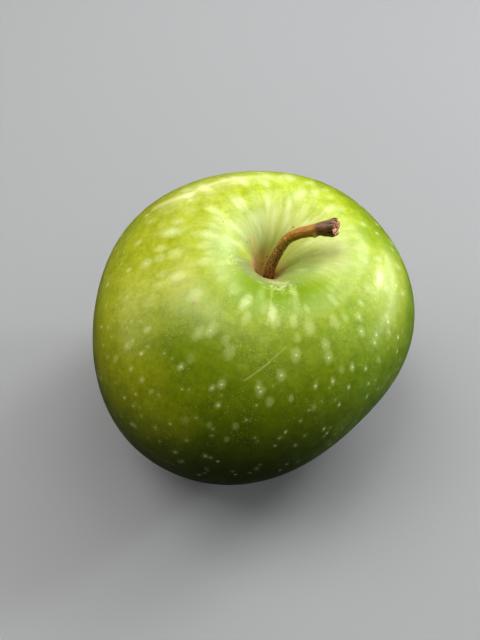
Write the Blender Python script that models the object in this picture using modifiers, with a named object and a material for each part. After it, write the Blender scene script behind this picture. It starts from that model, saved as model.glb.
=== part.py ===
"""Green apple standing on its base lobes: one fruit, its woody stem and its dried calyx.

Blender 4.5, metres, +Z up. The fruit is modelled upright about its own core axis, then
leans to +X on a base that is level, as a lopsided apple does. The floor is z = 0, and the
origin is under the middle of the fruit's outline.
"""

import math

import bmesh
import bpy
import numpy as np
from mathutils import Matrix, Vector, noise

MM = 0.001

# Body of the fruit, before it leans. Radius and height are measured from the core's middle.
RADIUS = 38.0 * MM
HALF_HEIGHT = 33.7 * MM
TAPER = 0.106  # wider above the middle, narrower below
FULLNESS = 0.036  # squares the shoulders and the base a little

# Lobes and lopsided growth, as shares of the radius, each with the direction it points to.
LOBES = 5
LOBE_SHARE, LOBE_AT = 0.017, math.radians(-4.5)
OVAL_SHARE, OVAL_AT = 0.019, math.radians(35)
THREE_SIDED_SHARE, THREE_SIDED_AT = 0.077, math.radians(11.3)
BULGE_SHARE, BULGE_AT = 0.021, math.radians(88)
SHOULDER_RISE = (0.158, 0.163)  # slope of the shoulders along X and Y
BASE_SHIFT = (-0.8 * MM, -0.1 * MM)  # the core's lower end grew off the middle
ROUND_NEAR_AXIS = 0.35  # the lopsided terms fade out this near the poles, as a share

# Stem cavity: a wide dish between the shoulders, with a narrow steep funnel in it.
DISH_DEPTH = 7.5 * MM
DISH_WIDTH = 11.5 * MM
FUNNEL_DEPTH = 8.5 * MM
FUNNEL_WIDTH = 3.7 * MM
FUNNEL_LIP = 1.8  # higher makes the funnel's lip sharper
CAVITY_SHIFT = (-0.2 * MM, 1.2 * MM)
CAVITY_SHIFT_WIDTH = 14.0 * MM

# Calyx basin and the ring of knobs around it that the apple stands on.
BASIN_DEPTH = 8.0 * MM
BASIN_WIDTH = 8.0 * MM
KNOB_HEIGHT = 1.3 * MM
KNOB_RING = 14.0 * MM
KNOB_WIDTH = 6.5 * MM

LEAN = math.radians(13.3)
BASE_SLANT = (0.24, 0.0)  # keeps the knobs level while the core leans
FLAT_DEPTH = 0.7 * MM  # how far the resting spots are pressed flat

SEGMENTS = 72
RINGS = 58
POLE_CROWDING = 0.72  # share by which the rings are closer at the poles

# What is sunk in a hole keeps this gap to the hole's wall.
GAP = 0.3 * MM

# Stem: centreline from the foot in its hole to the broken tip, as (X, Y, Z) in millimetres
# from the cavity's lowest point, and the radius there.
STEM = [
    ((0.72, 0.0, -4.2), 1.22),
    ((0.95, 0.0, -1.2), 1.22),
    ((1.15, 0.0, 1.3), 1.2),
    ((1.4, 0.0, 4.6), 1.17),
    ((1.9, 0.0, 7.4), 1.11),
    ((2.6, 0.0, 9.95), 1.06),
    ((3.45, 0.0, 12.4), 1.03),
    ((4.25, 0.0, 14.0), 1.05),
    ((5.15, 0.0, 14.95), 1.09),
    ((6.8, 0.0, 15.85), 1.15),
    ((9.0, 0.0, 16.55), 1.22),
    ((11.2, 0.0, 17.0), 1.46),
    ((12.75, 0.0, 17.2), 1.7),
    ((13.45, 0.0, 17.3), 1.62),
]
STEM_BURIED_POINTS = 5  # the hole follows this many of them
STEM_SIDES_LEVEL = 4  # bevel resolution: 12 sides
TIP_SLANT = 0.3  # how far the break leans back, per unit of height
TIP_RIM = 0.45 * MM
TIP_HOLLOW = 0.25 * MM
TIP_SPLINTER = 0.9 * MM
TIP_RAGGED = 0.28 * MM

# Calyx: a short tube sunk in the basin, five dry sepals and a tuft of stamens.
TUBE_RADIUS = 2.3 * MM
TUBE_SUNK = 1.8 * MM
TUBE_DROP = 1.5 * MM
SEPALS = 5
SEPAL_LENGTH = 5.0 * MM
SEPAL_WIDTH = 3.0 * MM
SEPAL_THICK = 0.7 * MM
SEPAL_CLEAR = 0.5 * MM  # how far a sepal bows off the basin's wall
STAMENS = 9
STAMEN_RADIUS = 0.34 * MM
STAMEN_LENGTH = 2.1 * MM

SKIN_GREEN = (0.33, 0.46, 0.03)
BARK_BROWN = (0.16, 0.075, 0.035)
CALYX_BROWN = (0.14, 0.09, 0.045)


def clear_scene():
    for obj in list(bpy.data.objects):
        bpy.data.objects.remove(obj)


def collection(name):
    made = bpy.data.collections.new(name)
    bpy.context.scene.collection.children.link(made)
    return made


def material(name, colour, roughness):
    made = bpy.data.materials.new(name)
    made.use_nodes = True
    shader = made.node_tree.nodes["Principled BSDF"]
    shader.inputs["Base Color"].default_value = (*colour, 1)
    shader.inputs["Roughness"].default_value = roughness
    shader.inputs["Metallic"].default_value = 0
    return made


def object_from(bm, name, into, look=None, smooth_below=math.radians(40)):
    mesh = bpy.data.meshes.new(name)
    bm.to_mesh(mesh)
    bm.free()
    obj = bpy.data.objects.new(name, mesh)
    into.objects.link(obj)
    if look:
        mesh.materials.append(look)
        mesh.shade_smooth()
        mesh.set_sharp_from_angle(angle=smooth_below)
    return obj


def as_cutter(obj):
    obj.hide_render = True
    obj.display_type = "WIRE"
    return obj


def cut(obj, cutter):
    modifier = obj.modifiers.new("cut by " + cutter.name, "BOOLEAN")
    modifier.operation = "DIFFERENCE"
    modifier.solver = "EXACT"
    modifier.object = cutter


def bell(distance, width, power=2.0):
    """1 in the middle, falling smoothly to nothing well beyond width."""
    return np.exp(-(np.abs(distance / width) ** power))


def apple_surface(theta, phi):
    """Points of the upright fruit. theta runs from 0 at the stem to pi at the calyx."""
    up, out = np.cos(theta), np.sin(theta)
    upper, lower = 0.5 + 0.5 * up, 0.5 - 0.5 * up
    on_top, on_base = up > 0, up < 0
    lobes = np.cos(LOBES * (phi - LOBE_AT))
    lopsided = (
        LOBE_SHARE * lobes * (0.35 + 0.65 * lower)
        + OVAL_SHARE * np.cos(2 * (phi - OVAL_AT))
        + THREE_SIDED_SHARE * np.cos(3 * (phi - THREE_SIDED_AT)) * lower
        + BULGE_SHARE * np.cos(phi - BULGE_AT) * out
    )
    radius = RADIUS * out * (1 + TAPER * up + FULLNESS * (up**2 - 1 / 3))
    radius = radius * (1 + lopsided * (1 - bell(out, ROUND_NEAR_AXIS)))
    x, y = radius * np.cos(phi), radius * np.sin(phi)
    dish = DISH_DEPTH * bell(radius, DISH_WIDTH)
    funnel = FUNNEL_DEPTH * bell(radius, FUNNEL_WIDTH, FUNNEL_LIP)
    basin = BASIN_DEPTH * bell(radius, BASIN_WIDTH)
    knobs = KNOB_HEIGHT * lobes * bell(radius - KNOB_RING, KNOB_WIDTH)
    z = HALF_HEIGHT * up - (dish + funnel) * on_top + (basin - knobs) * on_base
    z = z + (SHOULDER_RISE[0] * x + SHOULDER_RISE[1] * y) * upper**2
    z = z + (BASE_SLANT[0] * x + BASE_SLANT[1] * y) * lower**2
    near_cavity = bell(radius, CAVITY_SHIFT_WIDTH) * on_top
    x = x + BASE_SHIFT[0] * lower**2 + CAVITY_SHIFT[0] * near_cavity
    y = y + BASE_SHIFT[1] * lower**2 + CAVITY_SHIFT[1] * near_cavity
    return np.stack([x, y, z], axis=-1)


def fruit_mesh():
    """A UV sphere whose points are moved to the apple's surface, crowded at both poles."""
    bm = bmesh.new()
    bmesh.ops.create_uvsphere(bm, u_segments=SEGMENTS, v_segments=RINGS, radius=1)
    ball = np.array([v.co for v in bm.verts])
    down = np.arccos(np.clip(ball[:, 2], -1, 1)) / math.pi
    theta = math.pi * (down - POLE_CROWDING * np.sin(2 * math.pi * down) / (2 * math.pi))
    phi = np.arctan2(ball[:, 1], ball[:, 0])
    for vert, point in zip(bm.verts, apple_surface(theta, phi)):
        vert.co = point
    return bm


def seat(bm):
    """Where the core's middle goes, so that the leaning fruit stands on z = 0 at the origin."""
    lean = Matrix.Rotation(LEAN, 3, "Y")
    points = np.array([lean @ v.co for v in bm.verts])
    low, high = points.min(axis=0), points.max(axis=0)
    middle = (low + high) / 2
    return Vector((-middle[0], -middle[1], -low[2] - FLAT_DEPTH))


def floor_cutter(into):
    bm = bmesh.new()
    bmesh.ops.create_cube(bm, size=4 * RADIUS)
    made = as_cutter(object_from(bm, "floor_cutter", into))
    made.location.z = -2 * RADIUS
    return made


def tube_along(points, name, into, extra=0.0):
    """A round tube with its own radius at each point, as a mesh. extra widens all of it."""
    curve = bpy.data.curves.new(name, "CURVE")
    curve.dimensions = "3D"
    curve.bevel_depth = MM
    curve.bevel_resolution = STEM_SIDES_LEVEL
    curve.use_fill_caps = True
    curve.resolution_u = 4
    spline = curve.splines.new("BEZIER")
    spline.bezier_points.add(len(points) - 1)
    for knot, (place, radius) in zip(spline.bezier_points, points):
        knot.co = Vector(place) * MM
        knot.radius = radius + extra / MM
        knot.handle_left_type = knot.handle_right_type = "AUTO"
    guide = bpy.data.objects.new(name + "_guide", curve)
    into.objects.link(guide)
    graph = bpy.context.evaluated_depsgraph_get()
    mesh = bpy.data.meshes.new_from_object(guide.evaluated_get(graph))
    bpy.data.objects.remove(guide)
    bm = bmesh.new()
    bm.from_mesh(mesh)
    bpy.data.meshes.remove(mesh)
    bmesh.ops.remove_doubles(bm, verts=bm.verts, dist=0.00001)
    return bm


def break_tip(bm):
    """Slants the stem's end face back and roughens it, as where a twig snapped off."""
    end, before = (Vector(STEM[i][0]) * MM for i in (-1, -2))
    along = (end - before).normalized()
    bm.faces.ensure_lookup_table()
    face = max(bm.faces, key=lambda f: f.calc_center_median() @ along)
    bmesh.ops.inset_individual(bm, faces=[face], thickness=TIP_RIM, depth=-TIP_HOLLOW)
    for vert in bm.verts:
        off = vert.co - end
        if off @ along > -2 * TIP_HOLLOW:
            ragged = noise.noise(vert.co / TIP_SPLINTER) * TIP_RAGGED
            vert.co += along * (ragged - TIP_SLANT * off.z)


def basin_fall(radius):
    """How far the basin's wall has dropped from its lowest point inside, this far out."""
    return BASIN_DEPTH * (1 - math.exp(-((radius / BASIN_WIDTH) ** 2)))


def sepal(index, into):
    """One dry sepal: a pointed blade that leaves the tube's lip and follows the basin's wall."""
    bm = bmesh.new()
    along_steps, across_steps = 7, 4
    rows = []
    for i in range(along_steps + 1):
        s = i / along_steps
        width = SEPAL_WIDTH * (1 - s) ** 0.75 * (0.72 + 0.9 * s)
        reach = TUBE_RADIUS * 0.6 + SEPAL_LENGTH * s * (1 - 0.18 * s)
        drop = -TUBE_DROP - basin_fall(reach) - SEPAL_CLEAR * math.sin(math.pi * s)
        row = []
        for j in range(across_steps + 1):
            t = 2 * j / across_steps - 1
            cupped = 0.16 * SEPAL_WIDTH * (1 - t * t) * (1 - s)
            row.append(bm.verts.new((reach, t * max(width, 0.25 * MM) / 2, drop - cupped)))
        rows.append(row)
    for near, far in zip(rows, rows[1:]):
        for j in range(across_steps):
            bm.faces.new((near[j], far[j], far[j + 1], near[j + 1]))
    made = object_from(bm, f"sepal_{index}", into)
    thick = made.modifiers.new("thickness", "SOLIDIFY")
    thick.thickness = SEPAL_THICK
    thick.offset = 0
    made.rotation_euler.z = 2 * math.pi * index / SEPALS + 0.12 * (-1) ** index
    return made


def stamen(index, into):
    """One dry stamen: a slim leaning rod with its root well inside the tube."""
    bm = bmesh.new()
    root = 0.6 * MM
    bmesh.ops.create_cone(
        bm,
        cap_ends=True,
        segments=6,
        radius1=STAMEN_RADIUS * 1.2,
        radius2=STAMEN_RADIUS * 0.8,
        depth=STAMEN_LENGTH + root,
    )
    made = object_from(bm, f"stamen_{index}", into)
    turn = index * math.radians(137.5)
    spread = TUBE_RADIUS * 0.6 * math.sqrt((index + 0.5) / STAMENS)
    tilt = Matrix.Rotation(math.pi - 0.45 * spread / TUBE_RADIUS, 4, "Y")
    place = Matrix.Translation((spread, 0, -TUBE_DROP - STAMEN_LENGTH / 2 + root / 2))
    made.matrix_world = Matrix.Rotation(turn, 4, "Z") @ place @ tilt
    return made


def calyx_object(into, look):
    """The calyx, hanging from its local origin at the basin's lowest point."""
    bm = bmesh.new()
    bmesh.ops.create_cone(
        bm,
        cap_ends=True,
        segments=24,
        radius1=TUBE_RADIUS * 0.92,
        radius2=TUBE_RADIUS,
        depth=TUBE_SUNK + TUBE_DROP,
    )
    bmesh.ops.translate(bm, verts=bm.verts, vec=(0, 0, (TUBE_SUNK - TUBE_DROP) / 2))
    calyx = object_from(bm, "calyx", into, look)
    pieces = collection("calyx pieces")
    for index in range(SEPALS):
        sepal(index, pieces)
    for index in range(STAMENS):
        stamen(index, pieces)
    union = calyx.modifiers.new("join sepals and stamens", "BOOLEAN")
    union.operation = "UNION"
    union.solver = "EXACT"
    union.operand_type = "COLLECTION"
    union.collection = pieces
    bpy.context.view_layer.objects.active = calyx
    bpy.ops.object.modifier_apply(modifier=union.name)
    for obj in list(pieces.objects):
        bpy.data.objects.remove(obj)
    bpy.data.collections.remove(pieces)
    return calyx


def socket_cutter(name, radius, depth, into):
    """A plain round hole from a point on the surface up into the flesh."""
    bm = bmesh.new()
    below = 6 * MM
    bmesh.ops.create_cone(
        bm,
        cap_ends=True,
        segments=24,
        radius1=radius,
        radius2=radius,
        depth=depth + below,
    )
    bmesh.ops.translate(bm, verts=bm.verts, vec=(0, 0, (depth - below) / 2))
    return as_cutter(object_from(bm, name, into))


def build():
    clear_scene()
    apple = collection("green apple")
    cutters = collection("cutters")
    skin = material("apple skin", SKIN_GREEN, 0.35)
    bark = material("stem bark", BARK_BROWN, 0.7)
    dry = material("dry calyx", CALYX_BROWN, 0.85)

    bm = fruit_mesh()
    core = bpy.data.objects.new("core_axis", None)
    apple.objects.link(core)
    core.location = seat(bm)
    core.rotation_euler.y = LEAN
    fruit = object_from(bm, "fruit", apple, skin)
    fruit.parent = core
    lean = Matrix.Rotation(LEAN, 3, "Y")
    cavity, basin = (
        core.location + lean @ Vector(apple_surface(np.array(theta), np.array(0.0)))
        for theta in (0.0, math.pi)
    )
    cut(fruit, floor_cutter(cutters))

    bm = tube_along(STEM, "stem", apple)
    break_tip(bm)
    stem = object_from(bm, "stem", apple, bark)
    stem.location = cavity
    foot = STEM[:STEM_BURIED_POINTS]
    hole = object_from(tube_along(foot, "stem_hole", cutters, GAP), "stem_hole", cutters)
    as_cutter(hole).location = cavity - Vector((0, 0, GAP))
    cut(fruit, hole)

    calyx = calyx_object(apple, dry)
    calyx.location = basin
    well = socket_cutter("calyx_hole", TUBE_RADIUS + GAP, TUBE_SUNK + GAP, cutters)
    well.location = basin
    cut(fruit, well)


build()
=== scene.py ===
# %% [markdown]
# # A green apple
# One lopsided green apple stands on its base knobs. Its skin, stem and dry calyx are made here
# as numpy surfaces, over the solids of the fixed frame. The skin is where the work is: its
# greens, its pores and the russet in the stem cavity are all formulas on the surface.

# %% The fixed frame
import math

import bpy
import numpy as np
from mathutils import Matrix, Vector


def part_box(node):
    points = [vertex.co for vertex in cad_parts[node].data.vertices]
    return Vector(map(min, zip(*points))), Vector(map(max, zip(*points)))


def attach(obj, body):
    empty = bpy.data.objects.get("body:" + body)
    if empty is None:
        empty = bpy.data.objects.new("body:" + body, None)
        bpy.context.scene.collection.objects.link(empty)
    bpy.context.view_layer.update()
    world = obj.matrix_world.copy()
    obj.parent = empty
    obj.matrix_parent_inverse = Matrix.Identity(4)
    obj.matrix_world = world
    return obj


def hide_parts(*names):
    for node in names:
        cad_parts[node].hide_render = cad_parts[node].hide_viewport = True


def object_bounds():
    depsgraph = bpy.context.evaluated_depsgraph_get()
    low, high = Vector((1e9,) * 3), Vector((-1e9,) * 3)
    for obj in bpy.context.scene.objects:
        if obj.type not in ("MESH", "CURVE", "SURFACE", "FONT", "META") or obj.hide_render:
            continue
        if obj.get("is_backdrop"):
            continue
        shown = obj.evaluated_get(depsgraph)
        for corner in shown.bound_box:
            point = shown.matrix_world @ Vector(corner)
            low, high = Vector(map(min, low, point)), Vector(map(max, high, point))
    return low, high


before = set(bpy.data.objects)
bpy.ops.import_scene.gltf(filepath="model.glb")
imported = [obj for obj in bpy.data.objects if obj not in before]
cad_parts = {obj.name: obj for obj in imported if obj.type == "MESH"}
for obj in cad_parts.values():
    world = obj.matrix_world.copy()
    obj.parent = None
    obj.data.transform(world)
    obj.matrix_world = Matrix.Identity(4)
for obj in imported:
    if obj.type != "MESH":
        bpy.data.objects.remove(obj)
solid_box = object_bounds()
TAU = 2 * math.pi
MM_PER_METRE = 1000
print("solids:", sorted(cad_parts), "box", [tuple(corner) for corner in solid_box])

# %% [markdown]
# ## Camera
# A phone held over a table looks down at the apple at a little over half a right angle. Its
# wide lens is close, so the shoulders look larger than the base. Lens and distance go
# together: a longer lens further off would make a flatter apple of the same width.

# %% Camera
LENS = 27.56  # on a 36 mm sensor side
ELEVATION = 53.37  # degrees above the horizon
CAMERA_AT = (-0.0033, -0.0713, 0.1315)
NEAREST_SEEN = 0.005


def added(name, data):
    """A new object in the scene that holds this mesh, light or camera."""
    made = bpy.data.objects.new(name, data)
    bpy.context.scene.collection.objects.link(made)
    return made


camera_data = bpy.data.cameras.new("camera")
camera_data.lens = LENS
camera_data.clip_start = NEAREST_SEEN
camera = added("camera", camera_data)
camera.location = CAMERA_AT
camera.rotation_euler.x = math.radians(90 - ELEVATION)
bpy.context.scene.camera = camera
camera_way = Vector(CAMERA_AT).length * MM_PER_METRE
print("camera is", round(camera_way), "mm from the apple's foot")

# %% [markdown]
# ## Light
# The apple is lit as on a table in a room with windows behind it. Two large soft boxes high
# behind it, left and right, light the far shoulders and let the near underside fall into
# shade. The left one is also what the broad sheen on the left shoulder reflects. Lower boxes
# at the left, the back and the right light the rims, weak wide ones keep the shades from going
# black, and two small ones at the right give the glints. A contrast curve deepens the shades.

# %% Light
APPLE_MIDDLE = Vector((0, 0, 0.03))
ROOM_COLOUR, ROOM_STRENGTH = (0.80, 0.86, 0.92, 1), 0.02


def softbox(name, azimuth, elevation, distance, width, height, watts, colour=(1, 1, 1)):
    """An area light in that direction, in degrees from +X and from the horizon.

    Its distance, width and height are in metres."""
    a, e = math.radians(azimuth), math.radians(elevation)
    towards = Vector((math.cos(e) * math.cos(a), math.cos(e) * math.sin(a), math.sin(e)))
    lamp = bpy.data.lights.new(name, "AREA")
    lamp.shape = "RECTANGLE"
    lamp.size, lamp.size_y = width, height
    lamp.energy = watts
    lamp.color = colour
    made = added(name, lamp)
    made.location = APPLE_MIDDLE + towards * distance
    made.rotation_euler = towards.to_track_quat("Z", "Y").to_euler()


softbox("right_window_light", 45, 60, 0.8, 0.5, 0.5, 1.75, (1.0, 0.99, 0.96))
softbox("left_window_light", 157, 69, 0.9, 0.5, 0.5, 2.95, (1.0, 1.0, 0.98))
softbox("low_left_light", 174, 30, 0.9, 0.6, 0.6, 1.6)
softbox("ceiling_light", 250, 84, 0.9, 0.5, 0.3, 0.6)
softbox("right_edge_light", 14, 6, 0.8, 0.6, 0.1, 1.25, (0.93, 0.98, 1.0))
softbox("right_soft_light", 350, 32, 0.9, 0.6, 0.6, 0.55)
softbox("front_soft_light", 318, 62, 0.9, 0.9, 0.9, 0.95)
softbox("back_light", 100, 14, 0.9, 0.7, 0.35, 1.3)
softbox("glint_light", 17, 24, 0.8, 0.1, 0.045, 1.15, (0.95, 0.98, 1.0))
softbox("side_glint_light", 37, 42, 0.8, 0.2, 0.26, 1.2, (0.93, 0.97, 1.0))

world = bpy.data.worlds.new("studio")
world.use_nodes = True
room = world.node_tree.nodes["Background"]
room.inputs["Color"].default_value = ROOM_COLOUR
room.inputs["Strength"].default_value = ROOM_STRENGTH
bpy.context.scene.world = world
bpy.context.scene.view_settings.view_transform = "Standard"
bpy.context.scene.view_settings.look = "High Contrast"

# %% [markdown]
# ## Writing materials as sums
# A node material is a formula, so it is easier to read as one. A `Wire` is one value in a
# material. Adding or multiplying wires adds the Math nodes, and `node` adds any other node.
# A mask is a wire that is 1 where a thing is and 0 where it isn't. Most masks here come from
# `above`, `below` and `between`, and multiplying two masks keeps what both hold.

# %% A value in a material


class Wire:
    """One value on its way through a material: arithmetic on it adds Math nodes."""

    def __init__(self, tree, socket=None):
        self.tree, self.socket = tree, socket

    def node(self, kind, settings=None, inputs=None, output=0):
        """Adds a node: first its settings, then its sockets' values or links."""
        made = self.tree.nodes.new("ShaderNode" + kind)
        for name, value in (settings or {}).items():
            setattr(made, name, value)
        for name, value in (inputs or {}).items():
            if isinstance(value, Wire):
                self.tree.links.new(value.socket, made.inputs[name])
            else:
                made.inputs[name].default_value = value
        return Wire(self.tree, made.outputs[output])

    def maths(self, operation, *numbers):
        return self.node("Math", {"operation": operation}, dict(enumerate(numbers)))

    def __add__(self, other):
        return self.maths("ADD", self, other)

    def __sub__(self, other):
        return self.maths("SUBTRACT", self, other)

    def __rsub__(self, other):
        return self.maths("SUBTRACT", other, self)

    def __mul__(self, other):
        return self.maths("MULTIPLY", self, other)

    def __truediv__(self, other):
        return self.maths("DIVIDE", self, other)

    def __rtruediv__(self, other):
        return self.maths("DIVIDE", other, self)

    def __pow__(self, other):
        return self.maths("POWER", self, other)

    __radd__, __rmul__ = __add__, __mul__

    def above(self, low, high):
        """0 below low, 1 above high, and smooth between them."""
        ends = {0: self, 1: low, 2: high}
        return self.node("MapRange", {"interpolation_type": "SMOOTHSTEP"}, ends)

    def below(self, low, high):
        """1 below low, 0 above high, and smooth between them."""
        return 1 - self.above(low, high)

    def between(self, low, full, fading, gone):
        """0 below low, 1 from full to fading, 0 above gone, and smooth between them."""
        return self.above(low, full) * self.below(fading, gone)

    def point(self, x, y, z):
        return self.node("CombineXYZ", None, {0: x, 1: y, 2: z})

    def noise(self, place, size, detail=2.0, roughness=0.5):
        """Soft cloudy noise around 0.5 whose blobs are about this size."""
        inputs = {"Vector": place, "Scale": 1 / size, "Detail": detail, "Roughness": roughness}
        return self.node("TexNoise", None, inputs)

    def dice(self, place, output=0):
        """An even random number for each place; output 1 gives three of them as a colour."""
        return self.node("TexWhiteNoise", None, {"Vector": place}, output)

    def mix(self, mask, under, over):
        """The colour under where mask is 0 and the colour over where it is 1."""
        return self.node("Mix", {"data_type": "RGBA"}, {0: mask, 6: under, 7: over}, 2)

    def tint(self, amount, colour, by):
        """The colour multiplied by another one, as far as amount says."""
        settings = {"data_type": "RGBA", "blend_type": "MULTIPLY"}
        return self.node("Mix", settings, {0: amount, 6: colour, 7: by}, 2)

    def parts(self):
        """The three numbers of a vector or a colour."""
        return [self.node("SeparateXYZ", None, {0: self}, i) for i in range(3)]

    def stored(self, name, output):
        """What is stored on the surface: output 1 for a vector, output 2 for a number."""
        return self.node("Attribute", {"attribute_name": name}, None, output)

    def place(self):
        """The point's place on the piece, in metres."""
        return self.node("TexCoord", None, None, 3)

    def place_in_mm(self):
        """The point's place on the piece, in millimetres."""
        inputs = {0: self.place(), 3: MM_PER_METRE}
        return self.node("VectorMath", {"operation": "SCALE"}, inputs)

    def bump(self, height):
        """The surface's direction once it is raised by this height, in millimetres."""
        inputs = {"Strength": 1.0, "Distance": 1 / MM_PER_METRE, "Height": height}
        return self.node("Bump", None, inputs)


def new_material(name):
    """An empty Principled material: its start wire, its shader, and a function for its sockets."""
    made = bpy.data.materials.new(name)
    made.use_nodes = True
    shader = made.node_tree.nodes["Principled BSDF"]
    start = Wire(made.node_tree)

    def feed(socket, value):
        if isinstance(value, Wire):
            made.node_tree.links.new(value.socket, shader.inputs[socket])
        else:
            shader.inputs[socket].default_value = value

    return made, start, feed


def rgb(red, green, blue):
    """A solid colour as sockets take it, in linear light."""
    return (red, green, blue, 1)


# %% [markdown]
# ## From a grid of points to a mesh
# Every new piece here is a grid of rings. Rings join round to themselves, neighbours join
# into quads, and a single point closes each end as a fan, so nothing has a seam or a hole.
# Numbers that a material needs on the surface are stored with the points as attributes.

# %% Rings to mesh


def ring_faces(rings, columns):
    """Quads between neighbouring rings, as indices, wound so that they face outwards."""
    corner = np.arange(rings * columns).reshape(rings, columns)
    near, far = corner[:-1], corner[1:]
    quads = [near, far, np.roll(far, -1, axis=1), np.roll(near, -1, axis=1)]
    return np.stack(quads, axis=-1).reshape(-1, 4)


def mesh_object(name, points, faces):
    """A smoothly shaded object from points in metres and faces as lists of indices."""
    mesh = bpy.data.meshes.new(name)
    mesh.from_pydata(points.reshape(-1, 3).tolist(), [], faces)
    mesh.shade_smooth()
    print(name, len(mesh.vertices), "points", len(mesh.polygons), "faces")
    return added(name, mesh)


def closed_piece(name, grid, first, last, numbers):
    """A mesh from rings of points in millimetres, closed by a point at each end.

    numbers holds attributes: a name, and an array with a value for each point of the grid.
    The end points take the mean of the ring next to them."""
    rings, columns = grid.shape[:2]
    count = rings * columns
    around = np.arange(columns)
    after = np.roll(around, -1)
    base = count - columns
    head = np.stack([np.full(columns, count), around, after], axis=-1)
    tail = np.stack([np.full(columns, count + 1), base + after, base + around], axis=-1)
    points = np.concatenate([grid.reshape(-1, 3), [first, last]]) / MM_PER_METRE
    faces = ring_faces(rings, columns).tolist() + head.tolist() + tail.tolist()
    made = mesh_object(name, points, faces)
    for label, values in numbers.items():
        width = values.shape[2] if values.ndim == 3 else 1
        flat = values.reshape(count, width)
        ends = [values[0].reshape(-1, width).mean(0), values[-1].reshape(-1, width).mean(0)]
        flat = np.concatenate([flat, ends]).astype(np.float32)
        kind, field = ("FLOAT_VECTOR", "vector") if width == 3 else ("FLOAT", "value")
        stored = made.data.attributes.new(label, kind, "POINT")
        stored.data.foreach_set(field, flat.ravel())
    return made


# %% [markdown]
# ## Floor and backdrop
# The apple stands on a plain pale disc. Round it the same sheet goes on and curves up into a
# wall, lit from within so that it stays pale behind the apple from every side. The wall and
# the sheet's gloss are kept out of the apple's own light, or they would grey its shaded base.

# %% Floor and backdrop
DISC_RADIUS, CURVE_START, CURVE_RADIUS, WALL_TOP = 0.35, 0.8, 0.9, 1.7
STAGE_COLUMNS, BEND_STEPS = 96, 24

round_stage = np.arange(STAGE_COLUMNS) * TAU / STAGE_COLUMNS
unit_ring = np.stack([np.cos(round_stage), np.sin(round_stage), 0 * round_stage], axis=-1)
UP = np.array([0, 0, 1.0])
# The sheet's profile: flat, then a quarter circle, then straight up; turned round Z.
bend = np.linspace(0, math.pi / 2, BEND_STEPS)
curve_r = CURVE_START + CURVE_RADIUS * np.sin(bend)
profile_r = np.concatenate([[DISC_RADIUS], curve_r, [CURVE_START + CURVE_RADIUS]])
profile_z = np.concatenate([[0], CURVE_RADIUS * (1 - np.cos(bend)), [WALL_TOP]])
sheet = profile_r[:, None, None] * unit_ring + profile_z[:, None, None] * UP

floor = mesh_object("floor", DISC_RADIUS * unit_ring, [list(range(STAGE_COLUMNS))])
sheet_faces = ring_faces(len(profile_r), STAGE_COLUMNS).tolist()
backdrop = mesh_object("backdrop", sheet, sheet_faces)
for piece in (floor, backdrop):
    piece.visible_glossy = False
    piece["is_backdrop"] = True
backdrop.visible_diffuse = False

# %% Pale paper
PAPER_GREY, GLOW_GREY, BLACK = rgb(0.36, 0.36, 0.365), rgb(0.28, 0.28, 0.285), rgb(0, 0, 0)

paper, start, feed = new_material("pale_paper")
from_middle = start.node("VectorMath", {"operation": "LENGTH"}, {0: start.place()}, 1)
feed("Base Color", PAPER_GREY)
feed("Roughness", 0.75)
feed("Specular IOR Level", 0.2)
feed("Emission Color", start.mix(from_middle.above(DISC_RADIUS, 1.1), BLACK, GLOW_GREY))
feed("Emission Strength", 1.0)
for piece in (floor, backdrop):
    piece.data.materials.append(paper)

# %% [markdown]
# ## The fruit's surface
# An apple is a ball drawn in at both poles. In polar form it takes one formula: the radius
# follows the sine of the angle from the stem, the height follows its cosine, and bell-shaped
# terms press in the stem cavity and the calyx basin. Five lobes come from the five seed
# chambers of the core, strongest at the base, where they end as the knobs it stands on. A few
# slow waves round the core make it lopsided, and the whole fruit leans.

# %% Sizes of the fruit, in millimetres
RADIUS, HALF_HEIGHT = 38.0, 33.7
TAPER, FULLNESS = 0.106, 0.036  # wider above the middle, and a little squared
# Lobes and lopsided growth: shares of the radius, each with the direction it points to.
LOBES = 5
LOBE_SHARE, LOBE_AT = 0.017, math.radians(-4.5)
OVAL_SHARE, OVAL_AT = 0.019, math.radians(35)
THREE_SIDED_SHARE, THREE_SIDED_AT = 0.077, math.radians(11.3)
BULGE_SHARE, BULGE_AT = 0.021, math.radians(88)
SHOULDER_RISE = (0.158, 0.163)  # slope of the shoulders along X and Y
BASE_SHIFT, BASE_SLANT = (-0.8, -0.1), (0.24, 0.0)
ROUND_NEAR_AXIS = 0.35  # the waves fade out this near the poles, as a share
DISH_DEPTH, DISH_WIDTH = 7.5, 11.5
FUNNEL_DEPTH, FUNNEL_WIDTH, FUNNEL_LIP = 8.5, 3.7, 1.8
CAVITY_SHIFT, CAVITY_SHIFT_WIDTH = (-0.2, 1.2), 14.0
BASIN_DEPTH, BASIN_WIDTH = 8.0, 8.0
KNOB_HEIGHT, KNOB_RING, KNOB_WIDTH = 1.3, 14.0, 6.5
LEAN = math.radians(13.3)


def bell(distance, width, power=2.0):
    """1 in the middle, falling smoothly to nothing well beyond width."""
    return np.exp(-(np.abs(distance / width) ** power))


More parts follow.
